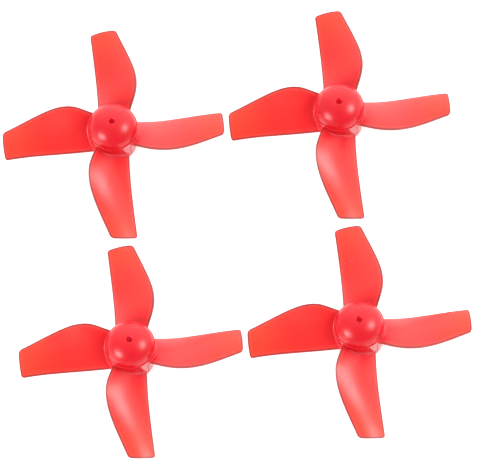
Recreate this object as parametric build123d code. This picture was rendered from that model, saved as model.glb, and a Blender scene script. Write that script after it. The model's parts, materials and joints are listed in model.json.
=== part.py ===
"""Set of four micro propellers with four blades each, laid out two by two on a table.

Millimetres, +Z up. The origin lies on the table, in the middle of the set. Each propeller is
one moulding that stands on the foot ring of its hub: a hollow hub with a domed cap, a boss
inside it with the bore for the motor shaft, ribs between boss and wall, and four twisted
blades. All four turn clockwise, seen from above, so the leading edge is the high one.
"""

import os
from math import cos, radians, sin

from build123d import *

# The rotor
ROTOR_DIAMETER = 31.0
BLADE_COUNT = 4
ROOT_DEPTH = 1.9  # the blades begin this far inside the hub's outer wall
EDGE_THICKNESS = 0.24  # the round leading and trailing edges
ROOT_THICKNESS = 0.62  # the blade's thickest line, at the hub and at the tip
TIP_THICKNESS = 0.40
CAMBER = 0.055  # height of the blade's arch, as a share of its chord
TIP_CORNER_RADIUS = 0.35
TRIM_MARGIN = 0.02  # between the blade's edges and the cutter that rounds its corners
GATE_MARK_RADIUS = 0.24  # trace of the injection point, on one blade
GATE_MARK_HEIGHT = 0.04
GATE_MARK_PLACE = 10.4

# The blade, from its root to its tip: share of the span, reach ahead of the blade's line and
# behind it, pitch angle in degrees, and how far the line lies below the hub's shoulder
BLADE_STATIONS = [
    (0.00, 2.15, 1.95, 36.0, 2.39),
    (0.14, 2.94, 1.95, 35.4, 2.52),
    (0.25, 3.54, 1.91, 36.6, 2.68),
    (0.39, 3.78, 1.90, 34.1, 2.84),
    (0.54, 3.53, 1.93, 28.4, 2.91),
    (0.71, 2.86, 2.00, 22.0, 2.93),
    (0.86, 2.12, 2.09, 18.8, 2.97),
    (1.01, 1.38, 2.20, 18.6, 3.14),
]

# The hub
HUB_RADIUS = 3.50  # the wall at its shoulder
HUB_DRAFT = 0.22  # the wall is this much nearer the axis at the table
SHOULDER_HEIGHT = 5.34
SHOULDER_ROUND = 0.10
SHOULDER_LEDGE = 0.14  # from the wall in to the foot of the dome
DOME_HEIGHT = 2.36
HUB_WALL = 0.60
SHUT_OFF_WIDTH = 0.10  # the upright line that the two halves of the mould leave
SHUT_OFF_DEPTH = 0.06
SHUT_OFF_ANGLE = 48.5  # clockwise from each blade's line, close to its leading edge

# The shaft's seat
BORE_DIAMETER = 0.80
BORE_CHAMFER = 0.10
BOSS_WALL = 0.65
BOSS_RECESS = 1.00  # the boss ends this far above the table
RIB_THICKNESS = 0.50
RIB_RECESS = 2.60

# The layout on the table
TIP_GAP_SIDEWAYS = 0.70
TIP_GAP_LENGTHWAYS = 1.20

# Worked out
ROTOR_RADIUS = ROTOR_DIAMETER / 2
FOOT_RADIUS = HUB_RADIUS - HUB_DRAFT
DOME_RADIUS = HUB_RADIUS - SHOULDER_LEDGE
ROOT_RADIUS = HUB_RADIUS - ROOT_DEPTH
BORE_RADIUS = BORE_DIAMETER / 2
BOSS_RADIUS = BORE_RADIUS + BOSS_WALL
TOP_HEIGHT = SHOULDER_HEIGHT + DOME_HEIGHT
BORE_TOP = SHOULDER_HEIGHT + DOME_HEIGHT * (1 - (BORE_RADIUS / DOME_RADIUS) ** 2) ** 0.5
BLADE_TURN = 360 / BLADE_COUNT
SEAM_ANGLE = 0.6 * BLADE_TURN  # turned surfaces start between two blades
PITCH_SIDEWAYS = ROTOR_DIAMETER + TIP_GAP_SIDEWAYS
PITCH_LENGTHWAYS = ROTOR_DIAMETER + TIP_GAP_LENGTHWAYS
ON_END = (Align.CENTER, Align.CENTER, Align.MIN)
ON_TABLE = (Align.MIN, Align.CENTER, Align.MIN)
CENTRES = {
    "propeller_front_left": (-1, -1),
    "propeller_front_right": (1, -1),
    "propeller_rear_left": (-1, 1),
    "propeller_rear_right": (1, 1),
}


def thickness_at(share):
    """The blade's thickness on its thickest line, at a share of its span."""
    return ROOT_THICKNESS + (TIP_THICKNESS - ROOT_THICKNESS) * share


def blade_section(share, lead, trail, angle, drop):
    """One cut across the blade: a thin arched strip with round edges, pitched by its angle."""
    pitch = radians(angle)
    place = (station_radius(share), 0, SHOULDER_HEIGHT - drop)
    plane = Plane(place, x_dir=(0, -cos(pitch), sin(pitch)), z_dir=(-1, 0, 0))
    back = -trail / cos(pitch)
    front = lead / cos(pitch)
    chord = front - back
    edge = EDGE_THICKNESS / 2
    swell = (thickness_at(share) - EDGE_THICKNESS) / 2

    def point(along, side):
        arch = 4 * along * (1 - along)
        middle = CAMBER * chord * (arch - 0.5)
        return back + edge + (chord - 2 * edge) * along, middle + side * (edge + swell * arch)

    steps = [step / 4 for step in range(5)]
    upper = Spline([point(step, 1) for step in steps])
    lower = Spline([point(step, -1) for step in steps])
    level = point(0, 0)[1]
    nose = ThreePointArc(point(1, 1), (front, level), point(1, -1))
    tail = ThreePointArc(point(0, 1), (back, level), point(0, -1))
    return plane * make_face([upper, nose, lower, tail])


def station_radius(share):
    """Distance from the shaft's axis to a share of the blade's span."""
    return ROOT_RADIUS + (ROTOR_RADIUS - ROOT_RADIUS) * share


def tip_trim():
    """A tall cutter: the rotor's circle, with the two corners of one blade's tip rounded."""
    inner, outer = BLADE_STATIONS[-2:]
    near, far = station_radius(inner[0]), station_radius(outer[0])
    strip = Polyline(
        (near, -ROTOR_RADIUS),
        (near, -inner[1] - TRIM_MARGIN),
        (far, -outer[1] - TRIM_MARGIN),
        (far, outer[2] + TRIM_MARGIN),
        (near, inner[2] + TRIM_MARGIN),
        (near, ROTOR_RADIUS),
        (0, ROTOR_RADIUS),
        (0, -ROTOR_RADIUS),
        close=True,
    )
    outline = make_face(strip) & Circle(ROTOR_RADIUS)
    reach = ROTOR_RADIUS - 2 * TIP_CORNER_RADIUS
    corners = [corner for corner in outline.vertices() if corner.X > reach]
    return extrude(fillet(corners, TIP_CORNER_RADIUS), TOP_HEIGHT)


def blade():
    """A twisted blade along +X, trimmed at its tip."""
    return loft([blade_section(*station) for station in BLADE_STATIONS]) & tip_trim()


def hub_core(wall):
    """The hub as if it were solid, shrunk by a wall's thickness; a wall of 0 gives its outside."""
    shoulder = SHOULDER_HEIGHT - wall
    foot = (FOOT_RADIUS - wall, 0)
    rim = (HUB_RADIUS - wall, shoulder)
    dome_foot = (DOME_RADIUS - wall, shoulder)
    pole = (0, shoulder + DOME_HEIGHT)
    dome = EllipticalCenterArc((0, shoulder), DOME_RADIUS - wall, DOME_HEIGHT, arc_size=90)
    sides = Polyline(pole, (0, 0), foot, rim, dome_foot)
    outline = fillet(make_face([sides, dome]).vertices().sort_by(Axis.X)[-1], SHOULDER_ROUND)
    return Rot(0, 0, SEAM_ANGLE) * revolve(Plane.XZ * outline, Axis.Z)


def around_the_hub(shape):
    """A shape repeated once for each blade."""
    return [Rot(0, 0, BLADE_TURN * turn) * shape for turn in range(BLADE_COUNT)]


def shut_off_lines():
    """The narrow upright grooves on the hub's wall, one beside each blade's leading edge."""
    slab = Box(HUB_RADIUS, SHUT_OFF_WIDTH, SHOULDER_HEIGHT - SHOULDER_ROUND, align=ON_TABLE)
    skin = hub_core(0) - hub_core(SHUT_OFF_DEPTH)
    return [skin & slab for slab in around_the_hub(Rot(0, 0, -SHUT_OFF_ANGLE) * slab)]


def shaft_seat():
    """The boss in the hub's hollow and the ribs that tie it to the wall, up to the dome."""
    boss = Pos(0, 0, BOSS_RECESS) * Cylinder(BOSS_RADIUS, TOP_HEIGHT, align=ON_END)
    rib = Pos(0, 0, RIB_RECESS) * Box(HUB_RADIUS, RIB_THICKNESS, TOP_HEIGHT, align=ON_TABLE)
    return (boss + around_the_hub(rib)) & hub_core(HUB_WALL / 2)


def bore():
    """The through hole for the shaft, with a chamfer at both its mouths."""
    hole = Cylinder(BORE_RADIUS, 3 * TOP_HEIGHT)
    mouth = Cone(BORE_RADIUS + 2 * BORE_CHAMFER, BORE_RADIUS, 2 * BORE_CHAMFER)
    return hole + Pos(0, 0, BOSS_RECESS) * mouth + Pos(0, 0, BORE_TOP) * Rot(180, 0, 0) * mouth


def gate_mark():
    """The low bead that the injection point left on the rear blade."""
    share = (GATE_MARK_PLACE - ROOT_RADIUS) / (ROTOR_RADIUS - ROOT_RADIUS)
    later = next(index for index, station in enumerate(BLADE_STATIONS) if station[0] > share)
    before, after = BLADE_STATIONS[later - 1], BLADE_STATIONS[later]
    weight = (share - before[0]) / (after[0] - before[0])
    lead, trail, angle, drop = (
        start + (end - start) * weight for start, end in zip(before[1:], after[1:])
    )
    slope = cos(radians(angle))
    arch = CAMBER * (lead + trail) / slope / 2
    top = SHOULDER_HEIGHT - drop + arch * slope + thickness_at(share) / 2 / slope
    bead = Pos(GATE_MARK_PLACE, 0, top + GATE_MARK_HEIGHT - GATE_MARK_RADIUS)
    return Rot(0, 0, 90) * bead * Sphere(GATE_MARK_RADIUS)


def propeller():
    """One whole moulding, its axis on Z and its foot ring on the table."""
    outside = hub_core(0) - shut_off_lines()
    moulding = outside + around_the_hub(blade()) + gate_mark()
    return moulding - hub_core(HUB_WALL) + shaft_seat() - bore()


os.makedirs("parts", exist_ok=True)
moulding = propeller()
for name, (side, row) in CENTRES.items():
    place = Pos(side * PITCH_SIDEWAYS / 2, row * PITCH_LENGTHWAYS / 2, 0)
    export_step(place * moulding, f"parts/{name}.step")
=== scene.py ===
# %% [markdown]
# # A set of four micro drone propellers
# The set is four equal mouldings of red, slightly see-through plastic, laid two by two on a
# white table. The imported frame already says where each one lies. It could be shown as it is,
# but a mesh that is modelled here gets soft roots where the blades grow out of the hub, round
# blade edges and finer marks of the mould. So one propeller is modelled, in the same sizes,
# and copied onto the four places that the frame gives.

# %% Load the frame
import json
from math import atan, atan2, cos, floor, pi, radians, sin, sqrt, tan

import bmesh
import bpy
from mathutils import Matrix, Vector


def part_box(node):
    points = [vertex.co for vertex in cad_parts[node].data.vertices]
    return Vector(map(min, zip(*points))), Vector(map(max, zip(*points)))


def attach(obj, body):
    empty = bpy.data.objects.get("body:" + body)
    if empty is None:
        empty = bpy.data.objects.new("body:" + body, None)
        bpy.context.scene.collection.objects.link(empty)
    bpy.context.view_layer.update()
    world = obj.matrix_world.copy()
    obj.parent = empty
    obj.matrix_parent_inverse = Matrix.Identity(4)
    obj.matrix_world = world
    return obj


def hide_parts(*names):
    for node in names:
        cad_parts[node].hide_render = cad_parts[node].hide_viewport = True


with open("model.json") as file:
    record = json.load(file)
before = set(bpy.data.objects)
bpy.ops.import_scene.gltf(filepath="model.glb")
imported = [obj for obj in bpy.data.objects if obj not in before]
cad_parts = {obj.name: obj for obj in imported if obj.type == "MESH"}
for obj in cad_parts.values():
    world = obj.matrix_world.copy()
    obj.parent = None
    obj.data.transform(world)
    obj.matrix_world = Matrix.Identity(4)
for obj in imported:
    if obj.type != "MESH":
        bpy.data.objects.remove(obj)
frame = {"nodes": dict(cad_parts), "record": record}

bpy.context.view_layer.update()
NODES = sorted(frame["nodes"])
print("nodes:", NODES)

# %% [markdown]
# The modelling is done in millimetres, because many mesh tools merge or skip what is smaller
# than a tenth of a millimetre when a unit is a metre. The finished mesh is scaled down to
# metres at the end. These are the sizes that drive it.

# %% Sizes, in millimetres
ROTOR_RADIUS = 15.5
BLADE_COUNT = 4
HUB_RADIUS = 3.50
FOOT_RADIUS = 3.28
SHOULDER = 5.34
LEDGE = 0.14
DOME_HEIGHT = 2.36
WALL = 0.60
BORE_RADIUS = 0.40
BORE_CHAMFER = 0.10
BOSS_RADIUS = 1.05
BOSS_RECESS = 1.00
BOSS_CHAMFER = 0.08
RIB_THICKNESS = 0.50
RIB_RECESS = 2.60
RIB_ROUND = 0.12
FOOT_LIP = 0.06
DOME_RADIUS = HUB_RADIUS - LEDGE
MILLIMETRE = 0.001

# One blade, station by station from the root out: distance from the shaft, reach ahead of
# the blade's line and behind it, pitch in degrees, and height of the line above the table
BLADE_STATIONS = [
    (1.60, 2.15, 1.95, 36.0, 2.95),
    (3.55, 2.94, 1.95, 35.4, 2.82),
    (5.08, 3.54, 1.91, 36.6, 2.66),
    (7.02, 3.78, 1.90, 34.1, 2.50),
    (9.11, 3.53, 1.93, 28.4, 2.43),
    (11.47, 2.86, 2.00, 22.0, 2.41),
    (13.55, 2.12, 2.09, 18.8, 2.37),
    (15.64, 1.38, 2.20, 18.6, 2.20),
]
print("rotor", 2 * ROTOR_RADIUS, "mm across, hub", 2 * HUB_RADIUS, "mm")


# %% [markdown]
# A few small helpers keep the steps readable. `only` makes one object the selected and active
# one, `editing` opens its mesh with nothing selected, and `pick` selects by a rule on place,
# which is how a hand would click, but repeatable. `modify` adds a modifier and applies it, and
# `combine` joins or cuts one solid with another.

# %% Helpers for modelling
def only(piece):
    """Selects one object and makes it active."""
    bpy.ops.object.select_all(action="DESELECT")
    piece.select_set(True)
    bpy.context.view_layer.objects.active = piece


def editing(piece, mode="VERT"):
    """Opens an object's mesh in edit mode with nothing selected."""
    only(piece)
    bpy.ops.object.mode_set(mode="EDIT")
    bpy.ops.mesh.select_mode(type=mode)
    bpy.ops.mesh.select_all(action="DESELECT")


def pick(piece, kind, rule):
    """Selects the vertices, edges or faces of the mesh being edited that a rule accepts."""
    mesh = bmesh.from_edit_mesh(piece.data)
    count = 0
    for part in getattr(mesh, kind):
        if rule(part):
            part.select_set(True)
            count += 1
    mesh.select_flush_mode()
    bmesh.update_edit_mesh(piece.data)
    return count


def done():
    """Leaves edit mode."""
    bpy.ops.object.mode_set(mode="OBJECT")


def modify(piece, kind, **settings):
    """Adds a modifier and applies it at once."""
    only(piece)
    modifier = piece.modifiers.new(kind, kind)
    for name, value in settings.items():
        setattr(modifier, name, value)
    bpy.ops.object.modifier_apply(modifier=modifier.name)


def combine(piece, other, operation):
    """Joins, cuts or trims one solid with another, which is used up."""
    modify(piece, "BOOLEAN", object=other, operation=operation, solver="EXACT")
    bpy.data.objects.remove(other, do_unlink=True)


# %% [markdown]
# The hub is round, so it is turned like a part on a lathe: an outline is drawn point by point
# with extrude, and spun about the shaft's axis. The outline could be a curve with a Screw
# modifier, but spin keeps the rings where they are drawn, close together at the shoulder.

# %% A turned solid
SAME_POINT = 0.001  # points closer than this are one, where the spin ends where it began


def turned(name, outline, steps):
    """Draws an outline of (radius, height) points by extrusion and spins it round Z."""
    bpy.ops.object.select_all(action="DESELECT")
    bpy.ops.mesh.primitive_plane_add(size=0.1, location=(0, 0, 0))
    piece = bpy.context.object
    piece.name = name
    editing(piece)
    bpy.ops.mesh.select_all(action="SELECT")
    bpy.ops.mesh.merge(type="CENTER")
    bpy.ops.mesh.select_all(action="SELECT")
    here = Vector((0, 0, 0))
    first = Vector((outline[0][0], 0, outline[0][1]))
    bpy.ops.transform.translate(value=first - here)
    here = first
    for radius, height in outline[1:]:
        there = Vector((radius, 0, height))
        bpy.ops.mesh.extrude_region_move(TRANSFORM_OT_translate={"value": there - here})
        here = there
    bpy.ops.mesh.select_all(action="SELECT")
    bpy.ops.mesh.spin(steps=steps, angle=2 * pi, center=(0, 0, 0), axis=(0, 0, 1))
    bpy.ops.mesh.select_all(action="SELECT")
    bpy.ops.mesh.remove_doubles(threshold=SAME_POINT)
    bpy.ops.mesh.select_all(action="SELECT")
    bpy.ops.mesh.normals_make_consistent(inside=False)
    done()
    return piece


def between(start, end, count):
    """The points that divide a straight run, without its first end."""
    return [
        (start[0] + (end[0] - start[0]) * step / count, start[1] + (end[1] - start[1]) * step / count)
        for step in range(1, count + 1)
    ]


def quarter_arc(middle, wide, high, count):
    """A quarter of a circle or ellipse, from its side up to its top."""
    turns = [pi / 2 * step / count for step in range(count + 1)]
    return [(middle[0] + wide * cos(turn), middle[1] + high * sin(turn)) for turn in turns]


HUB_STEPS = 144
FOOT_RINGS = 6
WALL_RINGS = 36
DOME_RINGS = 28
FOOT_CHAMFER = 0.05
ROUND = 0.10  # radius of the shoulder's edge
shoulder_round = quarter_arc((HUB_RADIUS - ROUND, SHOULDER - ROUND), ROUND, ROUND, 4)
outline = [(0, 0)] + between((0, 0), (FOOT_RADIUS - FOOT_CHAMFER, 0), FOOT_RINGS)
outline += [(FOOT_RADIUS, FOOT_CHAMFER)]
outline += between(outline[-1], shoulder_round[0], WALL_RINGS) + shoulder_round[1:]
outline += quarter_arc((0, SHOULDER), DOME_RADIUS, DOME_HEIGHT, DOME_RINGS)
outline[-1] = (0, SHOULDER + DOME_HEIGHT)  # the pole lies exactly on the axis
hub = turned("hub", outline, HUB_STEPS)
print("hub:", len(hub.data.polygons), "faces")

# %% [markdown]
# Where the two halves of the mould shut against each other, between the nose of one blade and
# the tail of the next, they leave a fine upright line on the hub's wall. It is cut before the
# blades are joined on, so that the flares at their roots run over it cleanly.


# %% Shut-off lines on the wall
def turned_copy(piece, angle):
    """A copy of an object with its own mesh, turned about the shaft's axis."""
    other = piece.copy()
    other.data = piece.data.copy()
    bpy.context.scene.collection.objects.link(other)
    other.data.transform(Matrix.Rotation(angle, 4, "Z"))
    return other


BLADE_STEP = 2 * pi / BLADE_COUNT
SHUT_OFF_ANGLE = radians(48.5)  # how far a line lies clockwise of a blade's own line
SHUT_OFF_WIDTH = 0.10
SHUT_OFF_DEPTH = 0.06
SHUT_OFF_ROUND = 0.02
SHUT_OFF_LENGTH = SHOULDER - 2 * ROUND
bpy.ops.object.select_all(action="DESELECT")
bpy.ops.mesh.primitive_cube_add(
    size=1,
    location=((HUB_RADIUS + FOOT_RADIUS) / 2, 0, SHUT_OFF_LENGTH / 2 - ROUND),
    rotation=(0, atan((HUB_RADIUS - FOOT_RADIUS) / SHOULDER), 0),
    scale=(2 * SHUT_OFF_DEPTH, SHUT_OFF_WIDTH, SHUT_OFF_LENGTH),
)
line = bpy.context.object
bpy.ops.object.transform_apply(location=True, rotation=True, scale=True)
editing(line, "EDGE")
bpy.ops.mesh.select_all(action="SELECT")
bpy.ops.mesh.bevel(offset=SHUT_OFF_ROUND, segments=2, affect="EDGES")
done()
for number in range(BLADE_COUNT):
    combine(hub, turned_copy(line, BLADE_STEP * number - SHUT_OFF_ANGLE), "DIFFERENCE")
bpy.data.objects.remove(line, do_unlink=True)
print("hub with its lines:", len(hub.data.polygons), "faces")

# %% [markdown]
# A blade is a thin, twisted, slightly arched sheet. Extruding a section station by station
# would do for its outer part, but the rows of points at the root have to follow the hub's
# round wall, and those at the tip the rotor's circle. So a flat grid is added, and each of its
# points is moved to where a formula puts it. The eight stations above say how wide, how steep
# and how high the blade is, and a smooth curve through them gives all places between.

# %% Shape the sheet of one blade
# Distances from the shaft of the rows of points, closest together at the root and the tip
ROW_PLACES = [2.9, 3.15, 3.3, 3.4, 3.5, 3.6, 3.7, 3.85, 4.05, 4.4, 5.0, 5.8, 6.6, 7.5]
ROW_PLACES += [8.6, 9.8, 11.1, 12.4, 13.7, 14.6, 15.14, 15.29, 15.41, 15.49]
CHORD_SHARES = [0.0, 0.035, 0.14, 0.32, 0.5, 0.68, 0.86, 0.965, 1.0]  # from tail to nose
ROUND_ROOT = 4.4  # rows up to here are arcs about the shaft
STRAIGHT_FROM = 7.5  # rows from here to the round tip are straight
ROUND_TIP = 15.0  # rows from here on are arcs about the shaft again
TIP_CORNER = 0.35
CAMBER = 0.055
EDGE_THICKNESS = 0.24
ROOT_THICKNESS = 0.62
TIP_THICKNESS = 0.40


def station_slope(index, column):
    """How fast a value of the stations changes at one of them."""
    before = BLADE_STATIONS[max(index - 1, 0)]
    after = BLADE_STATIONS[min(index + 1, len(BLADE_STATIONS) - 1)]
    return (after[column] - before[column]) / (after[0] - before[0])


def at_radius(radius):
    """Lead, trail, pitch and height at any distance, on smooth curves through the stations."""
    last = len(BLADE_STATIONS) - 2
    index = max(i for i in range(last + 1) if i == 0 or BLADE_STATIONS[i][0] <= radius)
    start, end = BLADE_STATIONS[index], BLADE_STATIONS[index + 1]
    run = end[0] - start[0]
    way = (radius - start[0]) / run
    values = []
    for column in range(1, len(start)):
        leaving = station_slope(index, column) * run
        arriving = station_slope(index + 1, column) * run
        values.append(
            start[column] * (1 + 2 * way) * (1 - way) ** 2
            + end[column] * way * way * (3 - 2 * way)
            + leaving * way * (1 - way) ** 2
            - arriving * way * way * (1 - way)
        )
    return values


def bend_of(place):
    """1 where a row of the grid is an arc about the shaft, 0 where it is straight."""
    if place >= ROUND_TIP:
        return 1.0
    return min(max((STRAIGHT_FROM - place) / (STRAIGHT_FROM - ROUND_ROOT), 0), 1)


def corner_inset(place):
    """How far the round corners of the tip draw a row in from both ends."""
    beyond = max(place - ROW_PLACES[-1] + TIP_CORNER, 0)
    return TIP_CORNER - sqrt(TIP_CORNER**2 - beyond**2)


def on_blade(place, share):
    """The point of the blade's middle surface on one row, at a share of the way to the nose."""
    radius = place
    for _ in range(8):  # the width depends on the radius and the radius on the width
        lead, trail, pitch, height = at_radius(radius)
        inset = corner_inset(place)
        ahead = share * (lead + trail - 2 * inset) - trail + inset
        radius = place - bend_of(place) * (place - sqrt(place**2 - ahead**2))
    slope = radians(pitch)
    across = (ahead + trail) / (lead + trail)
    arch = CAMBER * (lead + trail) / cos(slope) * (4 * across * (1 - across) - 0.5)
    aside = arch * sin(slope) - ahead
    up = height + ahead * tan(slope) + arch * cos(slope)
    return Vector((radius, aside, up))


def blade_sheet():
    """A flat grid whose points are moved onto the blade's middle surface."""
    rows, columns = len(ROW_PLACES) - 1, len(CHORD_SHARES) - 1
    bpy.ops.object.select_all(action="DESELECT")
    bpy.ops.mesh.primitive_grid_add(x_subdivisions=rows, y_subdivisions=columns, size=1)
    piece = bpy.context.object
    piece.name = "blade"
    for vert in piece.data.vertices:
        row = round((vert.co.x + 0.5) * rows)
        column = round((0.5 - vert.co.y) * columns)
        vert.co = on_blade(ROW_PLACES[row], CHORD_SHARES[column])
    return piece


sheet = blade_sheet()
print("one blade's sheet:", len(sheet.data.vertices), "points")

# %% [markdown]
# Solidify gives the sheet its thickness. The thickness isn't even: the blade is thickest
# along its middle and thins out to both edges, so each point gets a share of the largest
# thickness as a weight. Bevel then rounds the edges, and Subdivision Surface makes the
# curves true.

# %% Give the blade its thickness and round edges
def weigh(piece, name, rule):
    """Gives an object a vertex group, with each point's weight from a rule on the point."""
    group = piece.vertex_groups.new(name=name)
    for vert in piece.data.vertices:
        group.add([vert.index], rule(vert), "REPLACE")


def middle_thickness(radius):
    """How thick a blade is along its middle, at a distance from the shaft."""
    return ROOT_THICKNESS + (TIP_THICKNESS - ROOT_THICKNESS) * (radius / ROTOR_RADIUS)


def sheet_thickness(vert):
    """The blade's thickness at a point of the sheet, as a share of the thickest."""
    lead, trail, _, _ = at_radius(vert.co.x)
    share = min(max((trail - vert.co.y) / (lead + trail), 0), 1)
    swell = (middle_thickness(vert.co.x) - EDGE_THICKNESS) * 4 * share * (1 - share)
    return (EDGE_THICKNESS + swell) / ROOT_THICKNESS


EDGE_ROUND = 0.45 * EDGE_THICKNESS
EDGE_ANGLE = radians(50)  # edges that turn by more than this are the blade's borders


weigh(sheet, "thickness", sheet_thickness)
modify(
    sheet, "SOLIDIFY",
    thickness=ROOT_THICKNESS, offset=0, use_even_offset=True, vertex_group="thickness",
)
modify(
    sheet, "BEVEL",
    width=EDGE_ROUND, segments=2, limit_method="ANGLE", angle_limit=EDGE_ANGLE,
)
modify(sheet, "SUBSURF", levels=2, render_levels=2)
print("blade:", len(sheet.data.polygons), "faces")

# %% [markdown]
# In a mould the blades don't meet the hub in a sharp corner: the plastic flares out to the
# wall in a small hollow round. A Displace modifier would swell the blade along its own
# normals, but at the nose those point away from the round wall, and a flange would stand off
# it. So each point slides round the shaft and up or down at its own distance from it, more
# and more as it nears the wall, by the height of a quarter circle.

# %% Flare the root of the blade
FILLET = 0.30
MEETING = 0.02  # the flare stops just short of lying flat on the wall
LEAN = 0.2  # normals that lean less than this along the wall leave their point where it is


def wall_radius(height):
    """The radius of the hub's outer wall, which tapers a little, at a height."""
    return FOOT_RADIUS + (HUB_RADIUS - FOOT_RADIUS) * height / SHOULDER


def flare(place):
    """How far a point slides, from its way to the wall: the height of a quarter circle."""
    away = max(place.xy.length - wall_radius(place.z) + MEETING, 0)
    return 0.0 if away >= FILLET else FILLET - sqrt(FILLET**2 - (FILLET - away) ** 2)


def slide(place, normal):
    """Where a point of the blade goes: along the wall, the way that its normal leans."""
    out = Vector((place.x, place.y, 0)).normalized()
    along = normal - normal.dot(out) * out
    if along.length < LEAN:
        return place
    there = place + flare(place) * along.normalized()
    around = there.xy.normalized() * place.xy.length
    return Vector((around.x, around.y, there.z))


slid = [slide(vert.co, vert.normal) for vert in sheet.data.vertices]
for vert, place in zip(sheet.data.vertices, slid):
    vert.co = place
print("the root flares by", FILLET, "mm")

# %% [markdown]
# The blades and the hub are one piece of plastic, so they are united: one blade is copied
# round the hub, and a boolean joins each copy to it. They could just as well overlap, but then
# the shapes inside the hub would stay and show wherever a cut opens it.

# %% Join the blades to the hub
for number in range(1, BLADE_COUNT):
    combine(hub, turned_copy(sheet, BLADE_STEP * number), "UNION")
combine(hub, sheet, "UNION")
print("hub with blades:", len(hub.data.polygons), "faces")

# %% [markdown]
# The underside is hollow, so that the walls are as thin as the blades and cool evenly. What
# fills the hollow in the mould is a core with a pin for the bore, and that is how it is made
# here: the core is turned, slots for the ribs are cut into it, and then the core is cut out
# of the propeller. Its outline runs from below the foot up the wall, over the dome, down the
# boss, and up again along the bore.

# %% Turn the core of the mould
CORE_STEPS = 96
CORE_RINGS = 12
INNER_DOME_RINGS = 24
BELOW = -1.0
ABOVE = 9.0
CROWN_EASE = 0.03  # the chamfer at the crown opens out this far below it
ROOF_STEP = 0.02  # how far the boss's edge lies above the last ring of the inner dome
inner_top = (HUB_RADIUS - WALL, SHOULDER - WALL)
inner_dome = quarter_arc((0, inner_top[1]), DOME_RADIUS - WALL, DOME_HEIGHT, INNER_DOME_RINGS)
inner_dome = [point for point in inner_dome if point[0] > BOSS_RADIUS]
roof = (BOSS_RADIUS, inner_dome[-1][1] + ROOF_STEP)
outline = [
    (0, BELOW),
    (FOOT_RADIUS - WALL + FOOT_LIP, BELOW),
    (FOOT_RADIUS - WALL + FOOT_LIP, 0),
    (FOOT_RADIUS - WALL, FOOT_LIP),
]
outline += between(outline[-1], inner_top, CORE_RINGS) + inner_dome + [roof]
outline += between(roof, (BOSS_RADIUS, BOSS_RECESS + BOSS_CHAMFER), CORE_RINGS)
crown = SHOULDER + DOME_HEIGHT * sqrt(1 - (BORE_RADIUS / DOME_RADIUS) ** 2)
mouth = BORE_RADIUS + 3 * BORE_CHAMFER  # as wide as the chamfer's cone is above the crown
outline += [
    (BOSS_RADIUS - BOSS_CHAMFER, BOSS_RECESS),
    (BORE_RADIUS + BORE_CHAMFER, BOSS_RECESS),
    (BORE_RADIUS, BOSS_RECESS + BORE_CHAMFER),
    (BORE_RADIUS, crown - BORE_CHAMFER),
    (BORE_RADIUS + BORE_CHAMFER / 2, crown - CROWN_EASE),
    (mouth, crown + BORE_CHAMFER),
    (mouth, ABOVE),
    (0, ABOVE),
]
core = turned("core", outline, CORE_STEPS)
print("core:", len(core.data.polygons), "faces")

# %% [markdown]
# Four ribs carry the turning force from the boss to the wall. They could be bars added to the
# hollow hub, but slots in the core are closer to the mould and leave no seam. So a bar is taken
# out of the core for each rib, with its lower edges rounded, and the plastic fills the slot.


# %% Slot the core for the ribs
SLOT_HEIGHT = 5.0  # from the ribs' lower faces to above the core's dome
SLOT_OVERLAP = 0.3  # how far a slot runs in past the boss's face


def rib_slot():
    """A bar as wide as a rib, with round lower edges, from the boss to the wall along +X."""
    inner, outer = BOSS_RADIUS - SLOT_OVERLAP, HUB_RADIUS - WALL / 2
    bpy.ops.object.select_all(action="DESELECT")
    bpy.ops.mesh.primitive_cube_add(
        size=1,
        location=((inner + outer) / 2, 0, RIB_RECESS + SLOT_HEIGHT / 2),
        scale=(outer - inner, RIB_THICKNESS, SLOT_HEIGHT),
    )
    bar = bpy.context.object
    bpy.ops.object.transform_apply(location=True, rotation=True, scale=True)
    editing(bar, "EDGE")
    pick(bar, "edges", lambda edge: all(vert.co.z < RIB_RECESS + RIB_ROUND for vert in edge.verts))
    bpy.ops.mesh.bevel(offset=RIB_ROUND, segments=3, affect="EDGES")
    done()
    return bar


bar = rib_slot()
for number in range(1, BLADE_COUNT):
    combine(core, turned_copy(bar, BLADE_STEP * number), "DIFFERENCE")
combine(core, bar, "DIFFERENCE")
combine(hub, core, "DIFFERENCE")
print("hollowed out:", len(hub.data.polygons), "faces")

# %% [markdown]
# The plastic was let into the mould on one blade, where a low round bead is left. A ball sunk
# into the blade's upper face until only its cap stands out gives it. Some of the blade's own
# faces could be pulled up instead, but they are too large for so small a mark.

# %% Mark of the gate
GATE_PLACE = 10.4
GATE_RADIUS = 0.24
GATE_HEIGHT = 0.04
lead, trail, pitch, _ = at_radius(GATE_PLACE)
middle = on_blade(GATE_PLACE, trail / (lead + trail))
upper_face = middle_thickness(GATE_PLACE) / 2 / cos(radians(pitch))
rise = upper_face + GATE_HEIGHT - GATE_RADIUS
bpy.ops.object.select_all(action="DESELECT")
bpy.ops.mesh.primitive_uv_sphere_add(
    segments=32, ring_count=16, radius=GATE_RADIUS, location=middle + Vector((0, 0, rise))
)
bead = bpy.context.object
bpy.ops.object.transform_apply(location=True, rotation=True, scale=True)
bead.data.transform(Matrix.Rotation(BLADE_STEP, 4, "Z"))  # onto the rear blade
combine(hub, bead, "UNION")
print("one propeller:", len(hub.data.polygons), "faces")

# %% [markdown]
# Where two surfaces cross at a shallow angle, the booleans leave needles of faces that are far
# thinner than any real detail. They shade badly, so points that nearly touch are merged, and
# faces with hardly any width are dissolved.

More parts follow.
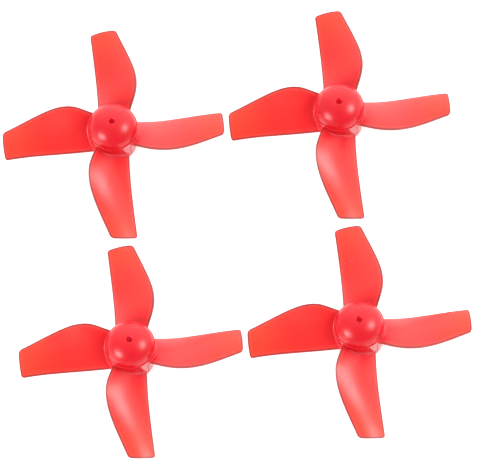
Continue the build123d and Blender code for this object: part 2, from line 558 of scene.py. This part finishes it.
# %% Clear away the needles
NEARLY_TOUCHING = 0.002
NO_WIDTH = 0.0005
count = len(hub.data.vertices)
editing(hub)
bpy.ops.mesh.select_all(action="SELECT")
bpy.ops.mesh.remove_doubles(threshold=NEARLY_TOUCHING)
bpy.ops.mesh.select_all(action="SELECT")
bpy.ops.mesh.dissolve_degenerate(threshold=NO_WIDTH)
done()
print("points merged away:", count - len(hub.data.vertices), "of", count)

# %% [markdown]
# The plastic lets a little light through, so its colour depends on where on the moulding one
# looks: deep at the thick hub and lighter along the blade. On top of that, shade is painted in:
# a dark line round the thin edges where they turn away, and dark shut-off lines on the hub's
# wall. A pattern in space can't know where these lie, so each point of the mesh is
# told how far out on the blade it is, how near an edge, and whether it lies on the hub's wall
# or in one of its shut-off lines, in four attributes that the material reads.

# %% Tell each point its place on the moulding
EDGE_BAND = 1.0
NOSE_SIDE = 50  # degrees clockwise of a blade's line up to which a point counts as that blade's
ROOT_BAND = 0.25  # how far out from the hub a blade has no edge line yet
SKIN = 0.02  # how far off the hub's wall a point may be and still count as on it
GRAZE = 0.01  # how far below the wall a point counts as in a line


def on_which_blade(place):
    """The same point, turned so that its blade lies along +X."""
    around = atan2(place.y, place.x) + radians(NOSE_SIDE)
    return Matrix.Rotation(-BLADE_STEP * floor(around / BLADE_STEP), 3, "Z") @ place


def nearness_to_edge(place):
    """1 on the border of a blade, 0 from a band's width inward and on the hub."""
    along = on_which_blade(place)
    if place.xy.length < HUB_RADIUS + ROOT_BAND or along.x < BLADE_STATIONS[0][0]:
        return 0.0
    lead, trail, _, _ = at_radius(along.x)
    inward = min(lead + along.y, trail - along.y, ROTOR_RADIUS - place.xy.length)
    return min(max(1 - inward / EDGE_BAND, 0), 1)


def tell(piece, name, rule):
    """Stores a number for each point of a mesh, from a rule on its place."""
    attribute = piece.data.attributes.new(name, "FLOAT", "POINT")
    for vert in piece.data.vertices:
        attribute.data[vert.index].value = rule(vert.co)


def in_shut_off_line(place):
    """1 inside the fine upright lines on the hub's wall, 0 elsewhere."""
    wall = wall_radius(place.z)
    half = BLADE_STEP / 2
    around = (atan2(place.y, place.x) + SHUT_OFF_ANGLE + half) % BLADE_STEP - half
    beside = abs(around) * wall < SHUT_OFF_WIDTH
    between_ends = ROUND < place.z < SHUT_OFF_LENGTH - ROUND
    sunk = GRAZE < wall - place.xy.length < 2 * SHUT_OFF_DEPTH
    return 1.0 if beside and between_ends and sunk else 0.0


def on_the_wall(place):
    """1 on the hub's upright outer wall, 0 elsewhere."""
    outside = FOOT_RADIUS - ROUND < place.xy.length < HUB_RADIUS + SKIN
    return 1.0 if outside and place.z < SHOULDER - ROUND else 0.0


tell(hub, "seam", in_shut_off_line)
tell(hub, "wall", on_the_wall)
tell(hub, "span", lambda place: place.xy.length / ROTOR_RADIUS)
tell(hub, "rim", nearness_to_edge)
print("points that know their place:", len(hub.data.vertices))
print("of them in a shut-off line:", sum(in_shut_off_line(vert.co) > 0 for vert in hub.data.vertices))

# %% [markdown]
# The one propeller is finished and becomes four. Each copy gets its own mesh, in metres, at
# the middle of the box of the node that it stands for, and it rides on that node's body. The
# copies could share one mesh, but a shared mesh can't hold four places.

# %% Four copies on their places
SMOOTH_UNDER = radians(32)  # faces that meet at less than this are shaded as one surface
hub.data.transform(Matrix.Scale(MILLIMETRE, 4))
only(hub)
bpy.ops.object.shade_smooth_by_angle(angle=SMOOTH_UNDER)

BODY_OF = {
    node: body for body, nodes in frame["record"]["behaviour"]["bodies"].items() for node in nodes
}
propellers = []
for node in NODES:
    low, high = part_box(node)
    piece = hub.copy()
    piece.data = hub.data.copy()
    piece.name = node.replace("propeller", "red_propeller")
    bpy.context.scene.collection.objects.link(piece)
    piece.data.transform(Matrix.Translation(((low.x + high.x) / 2, (low.y + high.y) / 2, low.z)))
    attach(piece, BODY_OF[node])
    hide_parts(node)
    propellers.append(piece)
bpy.data.objects.remove(hub, do_unlink=True)
print("placed:", [piece.name for piece in propellers])

# %% [markdown]
# A material is a net of nodes. Wiring it by hand is clear on a screen and tedious in a script,
# so two small classes do it: `Value` lets an output be used in a sum like a number, and
# `Finish` adds any other node, first its settings and then what goes into its sockets.


# %% Write node nets as sums
class Value:
    """An output of a node that can be added, multiplied and so on."""

    def __init__(self, finish, socket):
        self.finish = finish
        self.socket = socket

    def maths(self, operation, first, second):
        settings = {"operation": operation}
        return self.finish.node("ShaderNodeMath", settings, {0: first, 1: second})

    def __add__(self, other):
        return self.maths("ADD", self, other)

    def __sub__(self, other):
        return self.maths("SUBTRACT", self, other)

    def __rsub__(self, other):
        return self.maths("SUBTRACT", other, self)

    def __mul__(self, other):
        return self.maths("MULTIPLY", self, other)

    __radd__ = __add__
    __rmul__ = __mul__


class Finish:
    """A node net under construction, of a material or of the world."""

    def __init__(self, owner):
        owner.use_nodes = True
        self.tree = owner.node_tree
        self.tree.nodes.clear()

    def node(self, kind, settings=None, sockets=None, output=0):
        """Adds a node and gives back one of its outputs, by its name or number."""
        node = self.tree.nodes.new(kind)
        for name, value in (settings or {}).items():
            setattr(node, name, value)
        for name, value in (sockets or {}).items():
            if isinstance(value, Value):
                self.tree.links.new(value.socket, node.inputs[name])
            else:
                node.inputs[name].default_value = value
        return Value(self, node.outputs[output]) if len(node.outputs) else node

    def mix(self, share, first, second, blend="MIX"):
        """Mixes two colours by a share; A and B are sockets 6 and 7 of a colour mix."""
        settings = {"data_type": "RGBA", "blend_type": blend, "clamp_factor": True}
        return self.node("ShaderNodeMix", settings, {0: share, 6: first, 7: second}, output=2)

    def ramp(self, share, low, high):
        """A smooth step from 0 to 1 as a value goes from low to high, in sockets 1 and 2."""
        settings = {"interpolation_type": "SMOOTHSTEP"}
        return self.node("ShaderNodeMapRange", settings, {0: share, 1: low, 2: high})

    def attribute(self, name):
        """A number stored on the mesh's points."""
        settings = {"attribute_name": name, "attribute_type": "GEOMETRY"}
        return self.node("ShaderNodeAttribute", settings, output="Fac")

    def noise(self, place, size, detail=2.0, roughness=0.5):
        """Soft random spots about as large as size, in metres."""
        sockets = {"Vector": place, "Scale": 1 / size, "Detail": detail, "Roughness": roughness}
        return self.node("ShaderNodeTexNoise", {}, sockets)


# %% [markdown]
# The red plastic is polycarbonate or a clear nylon, glossy from a polished mould. Its red is
# deepest at the hub and thins out to a lighter and warmer red at the tips. Where the edges
# turn away, a darker red is painted on as shade, and the shut-off lines are painted dark as
# the shade in their hollows. The gloss isn't that of glass: the surface waves a
# little from shrinkage, carries a very fine grain, and is duller in soft patches where hands
# have touched it. Only the hub's wall has the full polish of the steel that shaped it. The
# narrow bore would go black, but see-through plastic lets light into it from all sides, so a
# faint red glow is painted into it as light.

# %% Red plastic
DEEP_RED = (0.69, 0.004, 0.014, 1)
MIDDLE_RED = (0.92, 0.024, 0.020, 1)
TIP_RED = (0.94, 0.048, 0.020, 1)
THIN_RED = (0.96, 0.090, 0.070, 1)
# painted shade: the dark red drawn round the blades' edges where they turn away
EDGE_SHADE_RED = (0.33, 0.040, 0.036, 1)
# painted shade: a dark red for the hollows of the shut-off lines, where shadow lies
SEAM_SHADE_RED = (0.20, 0.004, 0.006, 1)
THIN_PART = (0.25, 1.0)  # nearness to an edge where the plastic starts to thin, and is thinnest
EDGE_SHADE_BAND = (0.72, 0.84)  # nearness to an edge where the painted edge shade starts, and is full
# painted light: a red glow in the bore stands in for light let in through the plastic
GLOW_RED = (1.0, 0.02, 0.06, 1)
NO_GLOW = (0, 0, 0, 1)
BORE_SPAN = 0.034  # share of the rotor's radius, just outside the bore
BORE_GLOW = 0.16
GLOSS = 0.28  # roughness where nothing has touched the plastic
TOUCH = 0.10  # what touching adds to it
POLISH = 0.20  # what the steel's polish takes off it on the hub's wall


def red_plastic():
    """Glossy, slightly see-through red moulding."""
    material = bpy.data.materials.new("glossy_red_moulding")
    finish = Finish(material)
    place = finish.node("ShaderNodeTexCoord", output="Object")
    span, rim, seam, wall = [finish.attribute(name) for name in ("span", "rim", "seam", "wall")]
    clouds = finish.noise(place, 0.0045, detail=3.0)
    patches = finish.noise(place, 0.0018, detail=2.0)
    grain = finish.noise(place, 0.00012, detail=1.0)
    waves = finish.noise(place, 0.0032, detail=1.0)

    out = finish.ramp(span + 0.06 * (clouds - 0.5), 0.21, 0.42)
    tips = finish.ramp(span + 0.08 * (clouds - 0.5), 0.55, 1.0)
    red = finish.mix(out, DEEP_RED, MIDDLE_RED)
    red = finish.mix(tips, red, TIP_RED)
    red = finish.mix(0.45 * finish.ramp(rim, *THIN_PART), red, THIN_RED)
    # painted shade round the blades' edges
    red = finish.mix(finish.ramp(rim, *EDGE_SHADE_BAND), red, EDGE_SHADE_RED)
    # painted shade in the shut-off lines
    red = finish.mix(seam, red, SEAM_SHADE_RED)

    # painted light: the bore glows red in place of light that reaches it through the plastic
    in_bore = 1 - finish.ramp(span, 0.9 * BORE_SPAN, BORE_SPAN)
    glow = finish.mix(in_bore, NO_GLOW, GLOW_RED)
    roughness = GLOSS + TOUCH * patches - POLISH * wall
    fine = finish.node(
        "ShaderNodeBump", {}, {"Strength": 0.04, "Distance": 0.00002, "Height": grain}
    )
    bump = finish.node(
        "ShaderNodeBump", {},
        {"Strength": 0.10, "Distance": 0.0002, "Height": waves, "Normal": fine},
    )
    shader = finish.node(
        "ShaderNodeBsdfPrincipled", {},
        {
            "Base Color": red, "Roughness": roughness, "Normal": bump, "IOR": 1.50,
            "Subsurface Weight": 0.35, "Subsurface Scale": 0.0012,
            "Subsurface Radius": (1.0, 0.15, 0.12),
            "Emission Color": glow, "Emission Strength": BORE_GLOW,
        },
    )
    finish.node("ShaderNodeOutputMaterial", {}, {"Surface": shader})
    return material


plastic = red_plastic()
for piece in propellers:
    piece.data.materials.clear()
    piece.data.materials.append(plastic)
for node in frame["nodes"]:
    cad = bpy.data.objects.get(node)
    if cad:
        cad.data.materials.clear()
        cad.data.materials.append(plastic)
print("finish:", plastic.name)

# %% [markdown]
# The set lies on a plain white table. The table is so bright that hardly a shadow is left on
# it, and it lights the propellers from below as well. Only its upper side is ever seen, so one
# flat face does for it.


# %% White table
def white_table():
    """Matt white, with a little light of its own."""
    material = bpy.data.materials.new("white_table")
    finish = Finish(material)
    place = finish.node("ShaderNodeTexCoord", output="Object")
    grain = finish.noise(place, 0.004, detail=3.0)
    white = finish.mix(grain, (0.60, 0.60, 0.60, 1), (0.63, 0.63, 0.63, 1))
    shader = finish.node(
        "ShaderNodeBsdfPrincipled", {},
        {
            "Base Color": white, "Roughness": 0.6, "Specular IOR Level": 0.2,
            "Emission Color": (1, 1, 1, 1), "Emission Strength": 0.85,
        },
    )
    finish.node("ShaderNodeOutputMaterial", {}, {"Surface": shader})
    return material


TABLE_SIZE = 3.0
TABLE_DROP = 0.00002  # keeps the table's face clear of the feet's faces
bpy.ops.object.select_all(action="DESELECT")
bpy.ops.mesh.primitive_plane_add(size=TABLE_SIZE, location=(0, 0, -TABLE_DROP))
table = bpy.context.object
table.name = "table"
table.data.materials.append(white_table())
print("table:", TABLE_SIZE, "m wide")

# %% [markdown]
# Glossy plastic shows its surroundings, so the lights are placed by their mirror images. Two
# soft boxes, one low on the left and one high on the right, give the two soft spots on each
# dome. The room round them is white, brightest at the rear, which the blades that slope away
# from the camera mirror, and dimmer overhead and at the left.

# %% Light
ROOM_FRONT = 0.35
ROOM_REAR = 1.9
ROOM_TOP = 0.75  # share of the light that is left overhead
ROOM_LEFT = 0.50  # and at the left


def white_room(world):
    """A white room, brightest at the rear and dimmer overhead and at the left."""
    finish = Finish(world)
    direction = finish.node("ShaderNodeTexCoord")
    right, back, up = [
        finish.node("ShaderNodeSeparateXYZ", {}, {"Vector": direction}, output=axis) for axis in "XYZ"
    ]
    strength = ROOM_FRONT + (ROOM_REAR - ROOM_FRONT) * finish.ramp(back, -0.7, 0.9)
    strength = strength * (1 - (1 - ROOM_TOP) * finish.ramp(up, 0.3, 0.9))
    strength = strength * (1 - (1 - ROOM_LEFT) * finish.ramp(-1 * right, 0.2, 0.9))
    sockets = {"Color": (1, 1, 1, 1), "Strength": strength}
    background = finish.node("ShaderNodeBackground", {}, sockets)
    finish.node("ShaderNodeOutputWorld", {}, {"Surface": background})


room = bpy.data.worlds.new("white_room")
bpy.context.scene.world = room
white_room(room)

# The way to each soft box, its distance and width in metres, and its power in watts
SOFT_BOXES = {
    "soft_box_left": (Vector((-0.74, -0.46, 0.48)), 0.50, 0.22, 1.6),
    "soft_box_right": (Vector((0.71, -0.06, 0.70)), 0.50, 0.20, 1.25),
}
for name, (direction, distance, size, power) in SOFT_BOXES.items():
    light = bpy.data.lights.new(name, "AREA")
    light.shape = "DISK"
    light.size = size
    light.energy = power
    lamp = bpy.data.objects.new(name, light)
    lamp.location = direction.normalized() * distance
    lamp.rotation_euler = direction.to_track_quat("Z", "Y").to_euler()
    lamp.visible_camera = False
    bpy.context.scene.collection.objects.link(lamp)
print("lights:", list(SOFT_BOXES))

# %% [markdown]
# The camera looks down steeply from the front with a long lens, so the four propellers show
# hardly any perspective. It is rolled a little, as a hand would hold it. The view transform is
# Standard, because the film-like default would wash out a red this strong.

# %% Camera
ELEVATION = radians(70.12)
ROLL = radians(-4.95)
AIM = Vector((0.71, -0.05, 2.18)) * MILLIMETRE
VIEW_WIDTH = 66.96 * MILLIMETRE
LENS = 500
SENSOR = 36
camera = bpy.data.objects.new("camera", bpy.data.cameras.new("camera"))
camera.data.lens = LENS
camera.data.sensor_width = SENSOR
camera.data.clip_start = 0.01
camera.data.clip_end = 20
away = VIEW_WIDTH * LENS / SENSOR
camera.location = AIM + away * Vector((0, -cos(ELEVATION), sin(ELEVATION)))
tilt = Matrix.Rotation(pi / 2 - ELEVATION, 4, "X") @ Matrix.Rotation(ROLL, 4, "Z")
camera.rotation_euler = tilt.to_euler()
bpy.context.scene.collection.objects.link(camera)
bpy.context.scene.camera = camera
bpy.context.scene.view_settings.view_transform = "Standard"
print("camera is", round(away, 3), "m away")
